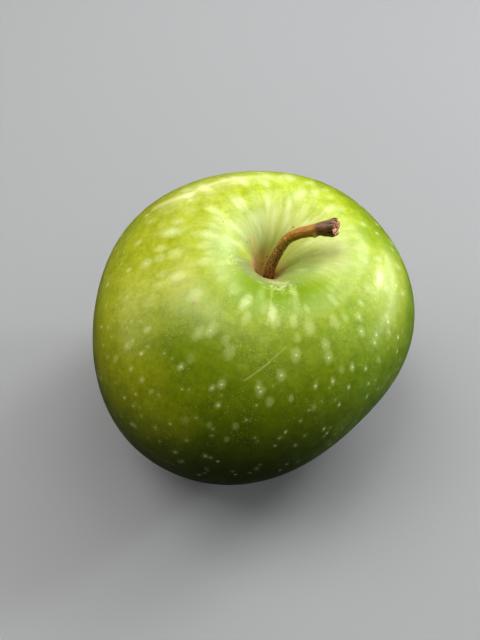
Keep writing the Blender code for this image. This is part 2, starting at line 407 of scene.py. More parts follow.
def apple_surface(theta, phi):
    """Points of the upright fruit, and each point's place round the core before its shifts.

    radius = sine of theta, widened by lobes and slow waves in phi; height = cosine of theta,
    less bells for the cavity, plus bells for the basin, less a ring of five knobs."""
    up, out = np.cos(theta), np.sin(theta)
    upper, lower = 0.5 + 0.5 * up, 0.5 - 0.5 * up
    on_top, on_base = up > 0, up < 0
    lobes = np.cos(LOBES * (phi - LOBE_AT))
    lopsided = (
        LOBE_SHARE * lobes * (0.35 + 0.65 * lower)
        + OVAL_SHARE * np.cos(2 * (phi - OVAL_AT))
        + THREE_SIDED_SHARE * np.cos(3 * (phi - THREE_SIDED_AT)) * lower
        + BULGE_SHARE * np.cos(phi - BULGE_AT) * out
    )
    radius = RADIUS * out * (1 + TAPER * up + FULLNESS * (up**2 - 1 / 3))
    radius = radius * (1 + lopsided * (1 - bell(out, ROUND_NEAR_AXIS)))
    x, y = radius * np.cos(phi), radius * np.sin(phi)
    dish = DISH_DEPTH * bell(radius, DISH_WIDTH)
    funnel = FUNNEL_DEPTH * bell(radius, FUNNEL_WIDTH, FUNNEL_LIP)
    basin = BASIN_DEPTH * bell(radius, BASIN_WIDTH)
    knobs = KNOB_HEIGHT * lobes * bell(radius - KNOB_RING, KNOB_WIDTH)
    z = HALF_HEIGHT * up - (dish + funnel) * on_top + (basin - knobs) * on_base
    core = np.stack([x, y, z], axis=-1)
    z = z + (SHOULDER_RISE[0] * x + SHOULDER_RISE[1] * y) * upper**2
    z = z + (BASE_SLANT[0] * x + BASE_SLANT[1] * y) * lower**2
    near_cavity = bell(radius, CAVITY_SHIFT_WIDTH) * on_top
    x = x + BASE_SHIFT[0] * lower**2 + CAVITY_SHIFT[0] * near_cavity
    y = y + BASE_SHIFT[1] * lower**2 + CAVITY_SHIFT[1] * near_cavity
    return np.stack([x, y, z], axis=-1), core


# %% [markdown]
# The grid's rings crowd together at the poles, where the funnel round the stem needs them. No
# fruit is perfectly even, so a handful of seeded waves a few tenths of a millimetre high
# ripples the skin: it shows only in how the highlights wander.

# %% The fruit
RINGS, COLUMNS, CROWDING = 238, 320, 0.72
RIPPLE_SEED, RIPPLE_WAVES, RIPPLE_HEIGHT = 11, 9, 0.11


def ripples(theta, phi, seed, waves, height):
    """A sum of seeded waves, each with a whole number of crests round the core."""
    random = np.random.default_rng(seed)
    crests = random.integers(1, 9, waves)
    down = random.uniform(2, 9, waves)
    phase = random.uniform(0, TAU, (waves, 2))
    angle = crests * phi[..., None] + phase[:, 0]
    swing = np.sin(angle) * np.sin(down * theta[..., None] + phase[:, 1])
    return height * swing.mean(-1) * math.sqrt(waves) * np.sin(theta)


def leaned(points):
    """Points turned about Y by the lean, so that the core's top goes towards +X."""
    x, y, z = np.moveaxis(points, -1, 0)
    cosine, sine = math.cos(LEAN), math.sin(LEAN)
    return np.stack([x * cosine + z * sine, y, z * cosine - x * sine], axis=-1)


step = np.arange(1, RINGS + 1) / (RINGS + 1)
theta = math.pi * (step - CROWDING * np.sin(TAU * step) / TAU)
phi = np.arange(COLUMNS) * TAU / COLUMNS
theta, phi = np.meshgrid(theta, phi, indexing="ij")
upright, core = apple_surface(theta, phi)
outwards = upright / np.linalg.norm(upright, axis=-1, keepdims=True)
ripple = ripples(theta, phi, RIPPLE_SEED, RIPPLE_WAVES, RIPPLE_HEIGHT)
tilted = leaned(upright + outwards * ripple[..., None])
print("ripples run from", ripple.min().round(2), "to", ripple.max().round(2), "mm")

# %% [markdown]
# The surface is then seated in the frame: its outline fills the fruit solid's box, its top is
# level with the solid's top, and the floor presses its knobs flat.

# %% Seating the fruit in the frame
low, high = (np.array(corner) * MM_PER_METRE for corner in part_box("fruit"))
leaned_low, leaned_high = tilted.min(axis=(0, 1)), tilted.max(axis=(0, 1))
stretch = (high - low) / (leaned_high - leaned_low)
stretch[2] = 1
crown = np.append((low + high)[:2] / 2, high[2])
leaned_crown = np.append((leaned_low + leaned_high)[:2] / 2, leaned_high[2])


def seated(points):
    """Leaned points moved to where the fruit solid stands, with nothing below the floor.

    place = (point - middle of the leaned top) x stretch + middle of the solid's top."""
    moved = (points - leaned_crown) * stretch + crown
    moved[..., 2] = np.maximum(moved[..., 2], 0)
    return moved


poles, _ = apple_surface(np.array([0.0, math.pi]), np.zeros(2))
cavity_foot, basin_roof = seated(leaned(poles))
skin_grid = seated(tilted)
steps_down = np.linalg.norm(np.diff(skin_grid, axis=0), axis=-1)
along = np.concatenate([np.zeros((1, COLUMNS)), steps_down.cumsum(axis=0)])
skin_numbers = {"core": core, "along": along}
skin = closed_piece("apple_skin", skin_grid, cavity_foot, basin_roof, skin_numbers)
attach(skin, "root")
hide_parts("fruit")
print("cavity foot", cavity_foot.round(2), "basin roof", basin_roof.round(2))
rim = np.argmax(skin_grid[: RINGS // 2, :, 2].mean(axis=1))
print("way to the rim", along[rim].mean().round(1), "mm, in all", along[-1].mean().round(1))

# %% [markdown]
# ## Skin
# The skin is painted by a formula of two numbers stored on the surface: the point's place
# round the upright core, and the way down along the skin from the stem. From these come the
# angle round the core and the girth there, so every mark can be drawn at its true size in
# millimetres, however the fruit narrows.

# %% Places on the skin
skin_paint, start, feed = new_material("apple_skin")
down = start.stored("along", 2)
at_x, at_y, at_z = start.stored("core", 1).parts()
girth = (at_x * at_x + at_y * at_y) ** 0.5
turn = start.maths("ARCTAN2", at_y, at_x) / TAU
near_stem = at_z.above(0.0, 2.0)
spot = start.place_in_mm()
# Which side of the core: 1 towards +X or +Y, -1 away from it. The small number stands in for
# the girth at the poles, where there is none to divide by.
east = at_x / (girth + 0.01)
north = at_y / (girth + 0.01)
west, south = 0 - east, 0 - north

# %% [markdown]
# ### Pores
# An apple's pores start as the flower's breathing holes. Round the stem they are stretched
# into pale streaks that point at it. On the shoulders they are oval pale patches with a white
# dot, and lower down they are crowded fine dots. Scattering them needs no list: the skin is
# cut into columns round the core and rows down it, and each cell rolls dice for where in it
# the pore lies, how large it is, and whether it is there. The distance from that pore to the
# point being painted is then worked out in millimetres, because columns narrow to the stem.

# %% Scattering pores


def pores(columns, row, seed, jitter):
    """A cell's pore: mm across and down from it, its size and luck dice, and the cell's window.

    column = turn x columns, row = way down / row height, each cut to whole numbers. Every
    band of rows starts at its own angle, so that no lines of pores form. The window is 1
    inside the cell and falls to 0 at its edges, so that no mark is cut off there."""
    rows = down / row + seed * 0.37
    band = start.maths("FLOOR", rows)
    across = (turn + 1) * columns + start.dice(start.point(band, seed, 0.5))
    column = start.maths("FLOORED_MODULO", start.maths("FLOOR", across), columns)
    dice = start.dice(start.point(column, band, seed), 1)
    right, below, big = dice.parts()
    luck = start.dice(start.point(column, band, seed + 0.5))
    in_x = start.maths("FRACT", across) - 0.5
    in_y = start.maths("FRACT", rows) - 0.5
    edge = start.maths("MAXIMUM", start.maths("ABSOLUTE", in_x), start.maths("ABSOLUTE", in_y))
    x = (in_x - (right - 0.5) * jitter) * girth * (TAU / columns)
    y = (in_y - (below - 0.5) * jitter) * row
    return x, y, big, luck, edge.below(0.44, 0.5)


def from_middle_of(x, y):
    """How far a mark's middle is: the root of x squared plus y squared."""
    return (x * x + y * y) ** 0.5


def oval(x, y, half_wide, half_long, soft=0.3):
    """1 at the middle of an oval with these half sizes, and 0 outside it, with a soft edge."""
    reach = ((x / half_wide) ** 2 + (y / half_long) ** 2) ** 0.5
    return (reach + (wander - 0.5) * 0.8).below(soft, 1.1)


def strongest(marks):
    """Where masks of one kind overlap, the strongest of them shows."""
    kept = marks[0]
    for mark in marks[1:]:
        kept = start.maths("MAXIMUM", kept, mark)
    return kept


wander = start.noise(spot, 1.1, 3.0, 0.6)
patchy = start.noise(spot, 13.0, 2.0)

# %% [markdown]
# One scatter has at most one mark in each cell, so its marks are too even. Several scatters
# with wide cells, each with its own seed, fall over each other like the real ones do. Long
# streaks lie round the cavity, halos with their dot on the shoulders, and small dots from the
# widest part down.

# %% Streaks, halos and dots
streak_end = 20.0 - 4.5 * east + 1.5 * north
streak_zone = girth.above(3.5, 7.0) * (girth - streak_end).below(-3.0, 5.0) * near_stem
streaks = []
for seed in (3.0, 4.0, 5.0, 6.0):
    x, y, big, luck, window = pores(14, 13.0, seed, 0.32)
    long = (2.2 + 2.0 * big) * (1.0 - 0.25 * east)
    mark = oval(x, y, (0.30 + 0.065 * girth) * (0.65 + 0.6 * big), long, 0.0)
    streaks.append(mark * window * (luck + 0.3 * north).above(0.30, 0.6))
streak = strongest(streaks) * streak_zone

fading = down.above(22, 46)
halo_zone = girth.above(11.0, 16.0) * (1.0 - 0.45 * down.above(34, 60)) * down.below(62, 80)
halos, dots = [], []
for seed in (7.0, 8.0, 9.0, 10.0):
    x, y, big, luck, window = pores(22, 9.4, seed, 0.42)
    grow = (0.6 + 0.55 * big) * (1.0 - 0.2 * east)
    wide = start.maths("MINIMUM", 0.075 * girth, 1.55 - 0.75 * fading)
    there = (luck + 1.0 * (patchy - 0.5) + 0.15 * east).above(0.22, 0.5)
    halos.append(oval(x, y, wide * grow, (2.3 - 1.3 * fading) * grow) * window * there)
    from_dot = from_middle_of(x, y)
    dots.append(from_dot.below(0.0, 0.40) * (luck + 0.25 * east).above(0.5, 0.7))
halo = strongest(halos) * halo_zone
dot = strongest(dots) * down.above(23, 31)

# %% Small dots
small_dots, small_halos = [], []
for seed in (11.0, 12.0):
    x, y, big, luck, window = pores(44, 5.4, seed, 0.8)
    from_dot = from_middle_of(x, y)
    there = luck.above(0.45, 0.7) * window
    small_dots.append(from_dot.below(0.05, 0.20 + 0.18 * big) * there)
    small_halos.append(from_dot.below(0.15, 0.95) * there)
small_dot = strongest(small_dots) * down.above(30, 42)
small_halo = strongest(small_halos) * down.above(30, 42)
print("scatters:", len(streaks), "of streaks,", len(halos), "of halos,", len(small_dots), "of dots")

# %% [markdown]
# ### Greens
# Under the wax the skin is bright yellow-green on the shoulders and darker green towards the
# base, and sooner at the front; this darkening is partly the skin's own deeper green and partly
# painted shade. It pales again round the calyx. The -X flank is turned a little yellow by the
# sun, the +X flank is cooler, and where the flanks are widest a cream band is laid: a pale bloom
# on the -X flank and a painted reflection on the +X flank. Each green is laid over the last one
# through its own mask, so they run into each other.

# %% Greens
clouds = start.noise(spot, 17.0, 3.0, 0.55)
patches = start.noise(spot, 5.0, 3.0, 0.6)
mottle = start.noise(spot, 0.8, 3.0, 0.7)

SHOULDER_GREEN = rgb(0.49, 0.58, 0.030)
FLANK_GREEN = rgb(0.235, 0.305, 0.006)
# The base green is darker than the skin's own tone: it is partly painted shade.
BASE_GREEN_AND_SHADE = rgb(0.055, 0.085, 0.002)
CALYX_GREEN = rgb(0.20, 0.26, 0.018)
SUN_YELLOW = rgb(0.47, 0.475, 0.014)
COOL_GREEN = rgb(0.27, 0.43, 0.03)
HAZE_AND_REFLECTION_CREAM = rgb(0.66, 0.71, 0.08)

far_right = (east * north).above(0.15, 0.5) * down.above(24, 34)
fade = down - 9.0 * north - 2.0 * east + 12.0 * far_right + (clouds - 0.5) * 16
colour = start.mix(fade.above(8, 42), SHOULDER_GREEN, FLANK_GREEN)
# Painted shade: the skin turns to the dark base green sooner at the front, away from the lamps.
deep_green_and_front_shade = (down - 5 * north + (patches - 0.5) * 10).above(28, 64)
colour = start.mix(deep_green_and_front_shade, colour, BASE_GREEN_AND_SHADE)
under = (down + (clouds - 0.5) * 16).above(74, 96)
colour = start.mix(under, colour, CALYX_GREEN)
in_front = south.above(0.3, 0.8) * down.below(32, 40)
sunward = 0.1 - east - 0.5 * in_front + (clouds - 0.5) * 1.3
sunny = sunward.above(0.1, 1.3) * down.between(14, 26, 45, 70) * 0.6
colour = start.mix(sunny, colour, SUN_YELLOW)
shady = (east - north * 0.3 + (patches - 0.5) * 0.8).above(0.45, 1.2) * down.below(50, 70) * 0.5
colour = start.mix(shady, colour, COOL_GREEN)
# The cream band is a pale bloom on the -X flank; on the +X flank it is a painted reflection.
haze_and_reflection_band = (clouds - 0.5) * 14 + down
west_haze = west.above(0.85, 1.0) * haze_and_reflection_band.between(28, 36, 44, 54) * 0.5
east_painted_reflection = (east - north.above(0, 0.6)).above(0.7, 1.0) * haze_and_reflection_band.between(22, 28, 34, 44)
haze_and_painted_reflection = strongest([west_haze, east_painted_reflection])
colour = start.mix(haze_and_painted_reflection * 0.34, colour, HAZE_AND_REFLECTION_CREAM)

# %% [markdown]
# Close to, the green is never even. Fine mottling makes each patch a little darker and yellower
# or lighter and milkier. Round the cavity the mottling is drawn out into rays: noise whose
# place is the direction round the core, and hardly the way down, makes long thin streaks.

# %% Mottling
DARKER, MILKIER = rgb(0.76, 0.82, 0.55), rgb(1.23, 1.18, 2.1)

blush = start.noise(spot, 2.6, 4.0, 0.65)
rays = start.noise(start.point(east * 7, north * 7, down * 0.16), 1.0, 5.0, 0.65)
near_rays = girth.below(12, 26) * near_stem
blend = 0.42 * mottle + 0.58 * blush + 0.5 * near_rays * (rays - 0.5)
colour = start.tint(0.75, colour, start.mix(blend.above(0.33, 0.67), DARKER, MILKIER))

# %% [markdown]
# ### Stem cavity
# Round the cavity's mouth the skin is greener in front and on the left, and frosted with cream
# at the back. Down the walls the green fades to a greyish cream in fine streaks that run to
# the stem. The fade starts further out on the far side, and the right wall has fine wrinkles.
# A darker green on the front-right wall and low on the right wall is partly the walls' own
# green and partly painted shade, and the far wall is lightened by painted light.

# %% Round the cavity's mouth
LEFT_GREEN = rgb(0.36, 0.46, 0.13)
FROST_CREAM = rgb(0.60, 0.66, 0.36)
LIP_GREEN = rgb(0.21, 0.32, 0.010)

left_lip = (west - 0.5 * north).above(0.6, 1.0) * near_stem
front_lip = south.above(0.5, 0.95) * near_stem
frost = (north - 0.6 * east).above(0.3, 1.0) * girth.between(8.0, 11.0, 16.0, 24.0) * near_stem
left_green = left_lip * girth.between(6.5, 8.5, 13.0, 17.0)
front_green = front_lip * girth.between(6.0, 8.5, 13.5, 18.0)
colour = start.mix(left_green * 0.6, colour, LEFT_GREEN)
colour = start.mix(frost * rays.above(0.35, 0.65) * 0.22, colour, FROST_CREAM)
colour = start.mix(front_green * 0.9, colour, LIP_GREEN)

# %% Walls of the cavity
CAVITY_CREAM = rgb(0.64, 0.68, 0.25)
CAVITY_GREEN = rgb(0.53, 0.575, 0.14)
WALL_GREEN_AND_SHADE = rgb(0.35, 0.44, 0.15)
FAR_WALL_PAINTED_LIGHT = rgb(0.86, 0.90, 0.42)
WRINKLE_CREAM = rgb(0.72, 0.76, 0.36)

inner = girth - 2.8 * north - 4.5 * east.above(0.4, 1.0) + 2.4 * left_lip
pale = (inner - (rays - 0.5) * 8).below(5.0, 12.5) * near_stem
wall = start.mix(rays.above(0.3, 0.7), CAVITY_GREEN, CAVITY_CREAM)
# Painted shade, in part: a darker green on the front-right wall and low on the right wall.
front_right_shade = (east * south).above(0.1, 0.45)
right_wall_shade = east.above(0.7, 1.0) * girth.below(6.0, 9.0) * 0.4
wall = start.mix(strongest([front_right_shade, right_wall_shade]), wall, WALL_GREEN_AND_SHADE)
colour = start.mix(pale * 0.85, colour, wall)

# Painted light: the far wall is lightened to a near-white cream. Its pale streaks are its own.
far_side = (0.85 * north - 0.5 * east).above(0.72, 0.98)
far_wall_painted_light = far_side * girth.between(3.5, 5.5, 9.0, 12.0) * near_stem
colour = start.mix(far_wall_painted_light * (0.1 + 0.5 * rays), colour, FAR_WALL_PAINTED_LIGHT)

fine = start.noise(start.point(east * 15, north * 15, down * 0.22), 1.0, 3.0, 0.6)
right_wrinkles = (east + 0.4 * north).above(0.3, 0.9) * girth.between(3.0, 6.0, 10.0, 17.0)
far_wrinkles = north.above(0.2, 0.8) * girth.below(8.0, 16.0) * 0.5
wrinkled = fine.above(0.50, 0.64) * strongest([right_wrinkles, far_wrinkles]) * near_stem
colour = start.mix(wrinkled * 0.3, colour, WRINKLE_CREAM)
right_lip = east.above(0.75, 1.0) * girth.between(8.0, 10.5, 13.0, 16.0) * near_stem
colour = start.mix(right_lip * 0.4, colour, WRINKLE_CREAM)

# %% [markdown]
# The near lip is rough: grey, with a broken white crust outside it. At the bottom of the cavity
# the skin has turned to russet, a thin brown cork, which climbs the walls in tongues. On the far
# side the cork is a light olive: partly its own colour and partly painted light at the bottom of
# the cavity. The cork is laid on last, with the marks.

# %% Rough lip and russet
LIP_GREY = rgb(0.31, 0.33, 0.21)
CRUST_WHITE = rgb(0.66, 0.72, 0.46)
RUSSET_BROWN = rgb(0.42, 0.20, 0.12)
RUSSET_TAN = rgb(0.74, 0.51, 0.34)
CORK_OLIVE_AND_LIGHT = rgb(0.68, 0.56, 0.16)

at_lip = (south - 0.5 * east).above(0.45, 0.95) * near_stem
lip = (girth + (rays - 0.5) * 2).above(4.2, 5.6) * (girth + (mottle - 0.5) * 4).below(7.4, 9.6)
colour = start.mix(at_lip * lip * (0.4 + 0.5 * rays), colour, LIP_GREY)
crusty = at_lip * girth.between(7.8, 8.8, 9.6, 11.6) * mottle.above(0.50, 0.60)
colour = start.mix(crusty * patches.above(0.40, 0.58) * 0.55, colour, CRUST_WHITE)

tongues = start.noise(start.point(east * 2.2, north * 2.2, 4.0), 1.0, 3.0, 0.6)
cork_edge = girth - (tongues - 0.5) * 6.0 - (rays - 0.5) * 3.0 + 0.6 * east
cork = cork_edge.below(2.2, 5.0) * near_stem
flaky = (0.5 * rays + 0.5 * mottle).above(0.38, 0.62)
cork_colour = start.mix(flaky, RUSSET_BROWN, RUSSET_TAN)
# The olive here is made lighter than the cork's own colour: painted light in the cavity's depth.
bare_cork_and_light = (north + 0.3 * east + (tongues - 0.5)).above(-0.1, 0.5)
cork_colour = start.mix(bare_cork_and_light * 0.75, cork_colour, CORK_OLIVE_AND_LIGHT)

# %% [markdown]
# ### Scars
# A fruit that has hung among twigs carries a few old scars. Each is a line between two places
# on the skin, given as degrees round the core and millimetres down from the stem: a broad
# healed rub on the left shoulder, a fine scratch on the front, a squiggle in the cavity's
# mouth, and the dotted seam below the lip, where two of the flower's parts met. Three pores in
# front are too large and too plain to leave to the dice, so they are placed the same way.

# %% Scars


def round_from(degrees):
    """The angle round the core from this direction, from half a turn behind to half ahead."""
    return start.maths("WRAP", turn - degrees / 360, 0.5, -0.5) * TAU


def scar(start_at, end_at, girth_there, half_width, ragged):
    """1 on the line from one place to the other, 0 beyond half a width from it.

    distance = length of (place - start - share x line), with the share held from 0 to 1.
    The line's own length is worked out at the girth it has there."""
    line_x = math.radians(end_at[0] - start_at[0]) * girth_there
    line_y = end_at[1] - start_at[1]
    length = line_x**2 + line_y**2
    x, y = round_from(start_at[0]) * girth, down - start_at[1]
    share = start.maths("MAXIMUM", (x * line_x + y * line_y) / length, 0)
    share = start.maths("MINIMUM", share, 1)
    away = ((x - share * line_x) ** 2 + (y - share * line_y) ** 2) ** 0.5
    return (away + (mottle - 0.5) * ragged).below(half_width * 0.3, half_width)


rub = scar((149.5, 37.0), (141, 30.0), 26, 1.7, 2.4) * 0.9
rub_end = scar((141, 30.0), (112, 27.5), 23, 1.2, 2.4) * 0.6
scratch = scar((258.5, 34.3), (266.5, 30.2), 25, 0.24, 0.5) * 0.5
faint_scratch = scar((266.5, 30.2), (273, 27.4), 24, 0.24, 0.7) * 0.3
squiggle = scar((166, 19.4), (177, 18.2), 14, 0.22, 0.8) * 0.5
seam = scar((263.5, 12.5), (262, 23.0), 12, 0.34, 1.9) * 0.4
crust = scar((262, 11.6), (284, 12.6), 8, 0.8, 3.2) * 0.7
scars = [rub, rub_end, scratch, faint_scratch, squiggle, seam, crust]


def large_pore(degrees, way_down, half_wide, half_long):
    """A pore as an oval of its own, at this place on the skin."""
    return oval(round_from(degrees) * girth, down - way_down, half_wide, half_long, 0.2)


large_pores = [
    large_pore(244, 19.8, 1.25, 2.7),
    large_pore(265, 20.6, 1.15, 2.5),
    large_pore(287, 16.0, 1.0, 2.5) * 0.7,
]
pink_speck = scar((219.3, 26.0), (219.6, 26.3), 21, 0.34, 0.2)
cork_tongue = scar((150, 6.0), (142, 11.2), 5, 1.0, 3.4)
print("scars:", len(scars), "and large pores:", len(large_pores))

# %% [markdown]
# ### Putting the marks on
# Pores go over the green, then the scars and the cork. A little wax dust lies on top in
# patches, and a few dark flecks sit round the cavity.

# %% Pores, scars and cork
PORE_CREAM = rgb(0.70, 0.76, 0.38)
DOT_WHITE = rgb(0.90, 0.92, 0.66)
SCAR_CREAM = rgb(0.74, 0.70, 0.34)
SPECK_PINK = rgb(0.42, 0.16, 0.07)

on_left = west.above(0.2, 0.9)
streak_strength = 0.34 - 0.12 * front_lip + 0.26 * north.above(-0.1, 0.7) + 0.04 * on_left
colour = start.mix(streak * streak_strength, colour, PORE_CREAM)
halo_strength = 0.26 + 0.08 * on_left * down.below(34, 44)
colour = start.mix(halo * halo_strength, colour, PORE_CREAM)
colour = start.mix(small_halo * 0.10, colour, PORE_CREAM)
colour = start.mix(dot * 0.55, colour, DOT_WHITE)
colour = start.mix(small_dot * 0.36, colour, DOT_WHITE)
for mark in large_pores:
    colour = start.mix(mark * 0.5, colour, PORE_CREAM)
for mark in scars:
    colour = start.mix(mark * 0.55, colour, SCAR_CREAM)
colour = start.mix(pink_speck * 0.7, colour, SPECK_PINK)
colour = start.mix(cork_tongue * 0.55, colour, cork_colour)
colour = start.mix(cork * 0.9, colour, cork_colour)

# %% Wax dust and flecks
GRAIN_APART = 0.5  # millimetres between grains of dust, and between flakes of bark
SPECK_YELLOW = rgb(0.86, 0.88, 0.42)
FLECK_BROWN = rgb(0.10, 0.05, 0.02)

dust = start.node("TexVoronoi", None, {"Vector": spot, "Scale": 1 / GRAIN_APART})
dust = dust.below(0.08, 0.34) * start.noise(spot, 5.0, 3.0, 0.6).above(0.44, 0.62)
colour = start.mix(dust * 0.24, colour, SPECK_YELLOW)
x, y, _, luck, _ = pores(17, 6.0, 12.0, 0.8)
flecks = from_middle_of(x, y).below(0.12, 0.3) * luck.above(0.62, 0.66)
flecks = flecks * down.below(21, 24) * (north + 0.3 * east).above(0.0, 0.25)
colour = start.mix(flecks * 0.55, colour, FLECK_BROWN)
feed("Base Color", colour)

# %% [markdown]
# ### Wax
# Apple wax is glossy but not clear: the highlights have soft edges, and a thin sheen of bloom
# greys the skin where it turns away. Cork and pores are duller. The relief is only a few
# hundredths of a millimetre: the cavity's rays are fine creases, and the whole skin has a faint
# grain. Pores change the gloss alone, because a Bump node works its height out three times, and
# a material that is too long turns black.

# %% Wax and relief
grain = start.noise(spot, 0.4, 2.0)
feed("Roughness", 0.34 + 0.12 * (patches - 0.5) + 0.25 * pale + 0.1 * dust + 0.08 * halo)
feed("IOR", 1.5)
feed("Coat Weight", 0.10 * (1 - pale))
feed("Coat Roughness", 0.16)
feed("Sheen Weight", 0.06)
feed("Sheen Roughness", 0.4)
creases = rays * girth.below(9.0, 22.0)
height = 0.022 * grain + 0.07 * creases
feed("Normal", start.bump(height))
skin.data.materials.append(skin_paint)
print("the skin's material has", len(skin_paint.node_tree.nodes), "nodes")

# %% [markdown]
# ## Stem
# The stem is a woody stalk, thinner in its middle and flared where it held the spur. It rises
# from the cavity, bends over at a small ring scar and ends in a torn face. It is a circle
# carried along a smooth path, with low seeded ridges.

# %% The stem's path
# Millimetres from the cavity's foot, and the radius there.
STEM = [
    ((0.72, 0.0, -4.2), 1.22),
    ((0.95, 0.0, -1.2), 1.22),
    ((1.15, 0.0, 1.3), 1.2),
    ((1.5, 0.0, 4.6), 1.17),
    ((2.15, 0.0, 7.4), 1.11),
    ((2.95, 0.0, 9.85), 1.06),
    ((3.8, -0.05, 12.15), 1.03),
    ((4.6, -0.1, 13.6), 1.05),
    ((5.5, -0.15, 14.5), 1.09),
    ((7.2, -0.2, 15.4), 1.15),
    ((9.4, -0.25, 16.1), 1.22),
    ((11.6, -0.3, 16.6), 1.46),
    ((13.15, -0.3, 16.85), 1.7),
    ((13.9, -0.3, 16.95), 1.62),
]


def smooth_through(values, count):
    """A Catmull-Rom curve: between two values, a cubic whose slope is set by their neighbours."""
    before, after = 2 * values[:1] - values[1:2], 2 * values[-1:] - values[-2:-1]
    padded = np.concatenate([before, values, after])
    place = np.linspace(0, len(values) - 1, count)
    first = np.minimum(place.astype(int), len(values) - 2)
    t = (place - first)[:, None]
    a, b, c, d = (padded[first + i] for i in range(4))
    square, cube = 2 * a - 5 * b + 4 * c - d, 3 * b - a - 3 * c + d
    return 0.5 * (2 * b + (c - a) * t + square * t**2 + cube * t**3)


STEM_RINGS, STEM_COLUMNS, FACE_RINGS = 150, 48, 10
knots = np.array([(*place, radius) for place, radius in STEM])
path = smooth_through(knots, STEM_RINGS)
centre, girths = path[:, :3] + cavity_foot, path[:, 3]
tangent = np.gradient(centre, axis=0)
tangent /= np.linalg.norm(tangent, axis=1, keepdims=True)
sideways = np.array([0.0, 1.0, 0.0])
over = np.cross(sideways, tangent)
over /= np.linalg.norm(over, axis=1, keepdims=True)
stem_way = np.concatenate([[0], np.linalg.norm(np.diff(centre, axis=0), axis=1).cumsum()])
print("stem is", stem_way[-1].round(1), "mm long,", (2 * girths.min()).round(2), "mm thin")

# %% Ridges and scars
BARK_SEED = 5
RING_SCAR = 18.5  # millimetres from the foot
BUD_SCAR = 24.2
BUD_TURN = math.radians(66)  # round the stem from its underside, towards the front

angle = np.arange(STEM_COLUMNS) * TAU / STEM_COLUMNS
way, angle_grid = np.meshgrid(stem_way, angle, indexing="ij")
random = np.random.default_rng(BARK_SEED)
ridge = sum(
    np.sin(n * angle_grid + random.uniform(0, TAU) + 0.25 * np.sin(way / random.uniform(2, 5))) / n
    for n in (2, 3, 5, 7, 11)
)
knobbly = sum(
    np.sin(n * angle_grid + random.uniform(0, TAU))
    * np.sin(way * random.uniform(1.2, 4.5) + random.uniform(0, TAU))
    for n in (1, 2, 3, 4, 5)
)
wide = girths[:, None] * (1 + 0.022 * ridge + 0.012 * knobbly)
wide = wide + 0.09 * bell(way - RING_SCAR, 0.28)
off_bud = np.cos(angle_grid - BUD_TURN) - 1
bud_swell = 0.34 * bell(way - BUD_SCAR, 0.5) * bell(off_bud, 0.12)
dent = 0.16 * bell(way - BUD_SCAR - 1.0, 0.5) * bell(off_bud, 0.3)
bark_step = 0.07 / (1 + np.exp((BUD_SCAR + 0.7 - way) / 0.15))
end_swell = 0.08 * bell(way - stem_way[-1] + 0.5, 0.35)
wide = wide + bud_swell - dent + bark_step + end_swell
circle = np.cos(angle)[:, None] * over[:, None] - np.sin(angle)[:, None] * sideways
tube = centre[:, None] + wide[..., None] * circle

# %% [markdown]
# Where the stem tore off, it ends in a face: rings that shrink to the middle, a little hollow,
# raised and sunk by seeded waves. The break runs across at a slant and has a few snags, which
# fade out back along the stem.

# %% The torn end
FACE_HOLLOW = 0.3
FACE_SLANT = np.array([0, -0.43, 0.27])  # rise of the break along each axis, in stem radii
SNAG_FADE = 1.5  # how far back along the stem the slant and the snags reach

shrink = np.linspace(1, 0.06, FACE_RINGS + 1)[1:]
torn = sum(
    np.sin(n * angle + random.uniform(0, TAU) + 4 * shrink[:, None] * random.uniform(-1, 1))
    * (0.5 + 0.5 * np.sin(9 * shrink[:, None] + random.uniform(0, TAU)))
    for n in (2, 3, 5, 8, 13)
)
hollow = -FACE_HOLLOW * np.sqrt(1 - shrink[:, None] ** 2)
hollow = hollow + 0.2 * torn * (1.2 - shrink[:, None])
last_ring = tube[-1] - centre[-1]
face = centre[-1] + shrink[:, None, None] * last_ring + hollow[..., None] * tangent[-1]
slant = (circle[-1] @ FACE_SLANT) * girths[-1]
snag = 0.14 * np.sin(5 * angle + 1.0) + 0.1 * np.sin(9 * angle + 2.0)
near_end = bell(way - stem_way[-1], SNAG_FADE)[..., None]
tube = tube + near_end * (snag - slant)[None, :, None] * tangent[-1]
face = face + shrink[:, None, None] * (snag - slant)[None, :, None] * tangent[-1]

stem_grid = np.concatenate([tube, face])
end_way = np.full((FACE_RINGS, STEM_COLUMNS), stem_way[-1])
stem_numbers = {
    "way": np.concatenate([way, end_way]),
    "around": np.concatenate([circle, np.broadcast_to(circle[-1], face.shape)]),
    "torn": np.concatenate([np.zeros_like(way), np.ones_like(end_way)]),
}
face_middle = centre[-1] - FACE_HOLLOW * tangent[-1]
stem = closed_piece("woody_stem", stem_grid, centre[0], face_middle, stem_numbers)
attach(stem, "root")
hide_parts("stem")

# %% [markdown]
# The bark is dark brown and scurfy where it leaves the cavity, smooth and reddish to olive
# along the arm, and purplish at the flared end, with a grey on its upper side that is partly a
# bloom and partly a painted sheen. The torn face shows pale pinkish fibres with dark cracks
# between them.

# %% Bark
BARK_DARK = rgb(0.44, 0.25, 0.10)
BARK_BROWN = rgb(0.50, 0.29, 0.065)
BARK_RED = rgb(0.50, 0.235, 0.055)
BARK_OLIVE = rgb(0.52, 0.34, 0.03)
BARK_PURPLE = rgb(0.19, 0.105, 0.04)
BLOOM_AND_SHEEN_GREY = rgb(0.33, 0.22, 0.16)

bark, start, feed = new_material("stem_bark")
way_at, torn_at = start.stored("way", 2), start.stored("torn", 2)
around_at = start.stored("around", 1)
spot = start.place_in_mm()
round_x, round_y, round_z = around_at.parts()
lengthways = start.point(round_x * 3 + round_z * 3, round_y * 3, way_at * 0.35)
grain = start.noise(lengthways, 0.45, 4.0, 0.65)
blotch = start.noise(spot, 1.3, 3.0, 0.6)
upwards = round_z + (blotch - 0.5) * 0.8

